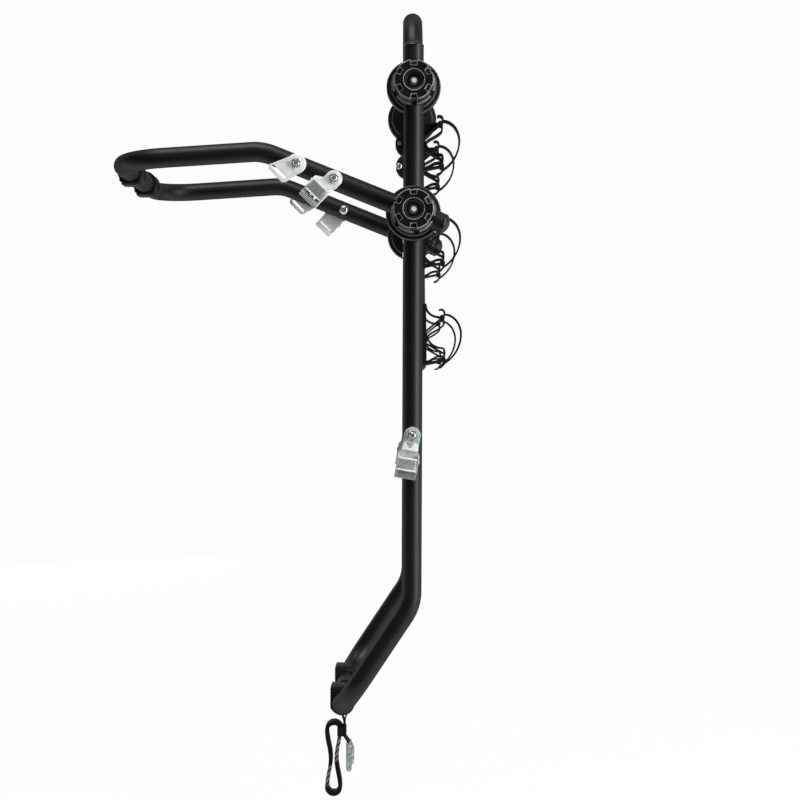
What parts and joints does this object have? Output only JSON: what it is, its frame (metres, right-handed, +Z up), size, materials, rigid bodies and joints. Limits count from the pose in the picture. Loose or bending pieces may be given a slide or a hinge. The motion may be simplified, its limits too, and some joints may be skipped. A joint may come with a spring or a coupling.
{
  "type": "trunk mounted bike rack",
  "caption": "Folding strap-on rack of bent black tube with hinged support frame and bike arms, hand knobs, rubber feet, bike cradles and cam buckles, for a car's trunk.",
  "frame": {"origin": "midway between the flat faces of the two lower feet, level with the bottom crossbar's axis", "axes": "+X away from the vehicle, +Y to the far side, +Z up along the legs"},
  "size_m": [0.513, 0.506, 1.1919],
  "materials": {
    "powder_coat": "satin",
    "moulded": "satin",
    "rubber": "matte",
    "zinc_plate": "satin",
    "webbing": "matte"
  },
  "bodies": {
    "rack": {"main_frame_tube": "powder_coat", "leg_end_caps": "moulded", "lower_foot_near": "rubber", "lower_foot_far": "rubber", "top_disc_outer_near": "moulded", "top_disc_outer_far": "moulded", "mid_disc_inner_near": "moulded", "mid_disc_inner_far": "moulded", "top_saddle_washers": "moulded", "hub_bolts": "zinc_plate", "leg_buckle_bolts": "zinc_plate", "leg_buckle_nuts": "zinc_plate", "strap_lead": "webbing", "strap_hank": "webbing", "strap_keeper": "webbing", "strap_buckle_frame": "zinc_plate", "strap_buckle_pin": "zinc_plate"},
    "support_frame": {"support_frame_tube": "powder_coat", "support_end_caps": "moulded", "upper_foot_near": "rubber", "upper_foot_far": "rubber", "mid_disc_outer_near": "moulded", "mid_disc_outer_far": "moulded", "mid_saddle_washers": "moulded", "support_bracket_bolts": "zinc_plate", "support_bracket_nuts": "zinc_plate"},
    "bike_arms": {"bike_arm_tube": "powder_coat", "bike_arm_end_caps": "moulded", "top_disc_inner_near": "moulded", "top_disc_inner_far": "moulded", "cradle_fasteners": "zinc_plate", "cradle_1_near": "rubber", "cradle_2_near": "rubber", "cradle_3_near": "rubber", "cradle_1_far": "rubber", "cradle_2_far": "rubber", "cradle_3_far": "rubber", "cradle_strap_1_near": "rubber", "cradle_strap_2_near": "rubber", "cradle_strap_3_near": "rubber", "cradle_strap_1_far": "rubber", "cradle_strap_2_far": "rubber", "cradle_strap_3_far": "rubber"},
    "strap_lever": {"strap_buckle_lever": "zinc_plate"},
    "top_knob_near": {"top_knob_near": "moulded"},
    "mid_knob_near": {"mid_knob_near": "moulded"},
    "leg_buckle_near": {"leg_buckle_near": "zinc_plate"},
    "leg_lever_near": {"leg_lever_near": "zinc_plate"},
    "support_buckle_near": {"support_buckle_near": "zinc_plate"},
    "support_lever_near": {"support_lever_near": "zinc_plate"},
    "slot_bracket_near": {"slot_bracket_near": "zinc_plate"},
    "top_knob_far": {"top_knob_far": "moulded"},
    "mid_knob_far": {"mid_knob_far": "moulded"},
    "leg_buckle_far": {"leg_buckle_far": "zinc_plate"},
    "leg_lever_far": {"leg_lever_far": "zinc_plate"},
    "support_buckle_far": {"support_buckle_far": "zinc_plate"},
    "support_lever_far": {"support_lever_far": "zinc_plate"},
    "slot_bracket_far": {"slot_bracket_far": "zinc_plate"}
  },
  "joints": [
    {"name": "support_hinge", "type": "hinge", "parent": "rack", "child": "support_frame", "pos_m": [0.1195, 0, 0.718], "axis": [0, 1, 0], "range_deg": [-90, 50]},
    {"name": "bike_arm_hinge", "type": "hinge", "parent": "rack", "child": "bike_arms", "pos_m": [0.1195, 0, 0.905], "axis": [0, -1, 0], "range_deg": [0, 100]},
    {"name": "top_knob_near_turn", "type": "hinge", "parent": "rack", "child": "top_knob_near", "pos_m": [0.1195, -0.166, 0.905], "axis": [0, -1, 0], "continuous": true},
    {"name": "mid_knob_near_turn", "type": "hinge", "parent": "rack", "child": "mid_knob_near", "pos_m": [0.1195, -0.206, 0.718], "axis": [0, -1, 0], "continuous": true},
    {"name": "leg_buckle_near_swivel", "type": "hinge", "parent": "rack", "child": "leg_buckle_near", "pos_m": [0.1195, -0.166, 0.4], "axis": [0, 1, 0], "range_deg": [-30, 30]},
    {"name": "leg_lever_near_flip", "type": "hinge", "parent": "leg_buckle_near", "child": "leg_lever_near", "pos_m": [0.11307, -0.1881, 0.36356], "axis": [-0.9848, 0, 0.1736], "range_deg": [0, 55], "stiffness_Nm_per_rad": 0.05, "springref_deg": -28.65},
    {"name": "support_buckle_near_swivel", "type": "hinge", "parent": "support_frame", "child": "support_buckle_near", "pos_m": [0.007, -0.206, 0.76254], "axis": [0, 1, 0], "range_deg": [-60, 10]},
    {"name": "support_lever_near_flip", "type": "hinge", "parent": "support_buckle_near", "child": "support_lever_near", "pos_m": [-0.01308, -0.2281, 0.74981], "axis": [-0.7314, 0, 0.682], "range_deg": [0, 55], "stiffness_Nm_per_rad": 0.05, "springref_deg": -28.65},
    {"name": "slot_bracket_near_swivel", "type": "hinge", "parent": "support_frame", "child": "slot_bracket_near", "pos_m": [-0.046, -0.206, 0.78353], "axis": [0, 1, 0], "range_deg": [-10, 60]},
    {"name": "top_knob_far_turn", "type": "hinge", "parent": "rack", "child": "top_knob_far", "pos_m": [0.1195, 0.166, 0.905], "axis": [0, 1, 0], "continuous": true},
    {"name": "mid_knob_far_turn", "type": "hinge", "parent": "rack", "child": "mid_knob_far", "pos_m": [0.1195, 0.206, 0.718], "axis": [0, 1, 0], "continuous": true},
    {"name": "leg_buckle_far_swivel", "type": "hinge", "parent": "rack", "child": "leg_buckle_far", "pos_m": [0.1195, 0.166, 0.4], "axis": [0, 1, 0], "range_deg": [-30, 30]},
    {"name": "leg_lever_far_flip", "type": "hinge", "parent": "leg_buckle_far", "child": "leg_lever_far", "pos_m": [0.11307, 0.1881, 0.36356], "axis": [0.9848, 0, -0.1736], "range_deg": [0, 55], "stiffness_Nm_per_rad": 0.05, "springref_deg": -28.65},
    {"name": "support_buckle_far_swivel", "type": "hinge", "parent": "support_frame", "child": "support_buckle_far", "pos_m": [0.007, 0.206, 0.76254], "axis": [0, 1, 0], "range_deg": [-60, 10]},
    {"name": "support_lever_far_flip", "type": "hinge", "parent": "support_buckle_far", "child": "support_lever_far", "pos_m": [-0.01308, 0.2281, 0.74981], "axis": [0.7314, 0, -0.682], "range_deg": [0, 55], "stiffness_Nm_per_rad": 0.05, "springref_deg": -28.65},
    {"name": "slot_bracket_far_swivel", "type": "hinge", "parent": "support_frame", "child": "slot_bracket_far", "pos_m": [-0.046, 0.206, 0.78353], "axis": [0, 1, 0], "range_deg": [-10, 60]},
    {"name": "strap_lever_flip", "type": "hinge", "parent": "rack", "child": "strap_lever", "pos_m": [0.028, 0, -0.098], "axis": [0, -1, 0], "range_deg": [0, 55], "stiffness_Nm_per_rad": 0.05, "springref_deg": -28.65}
  ]
}
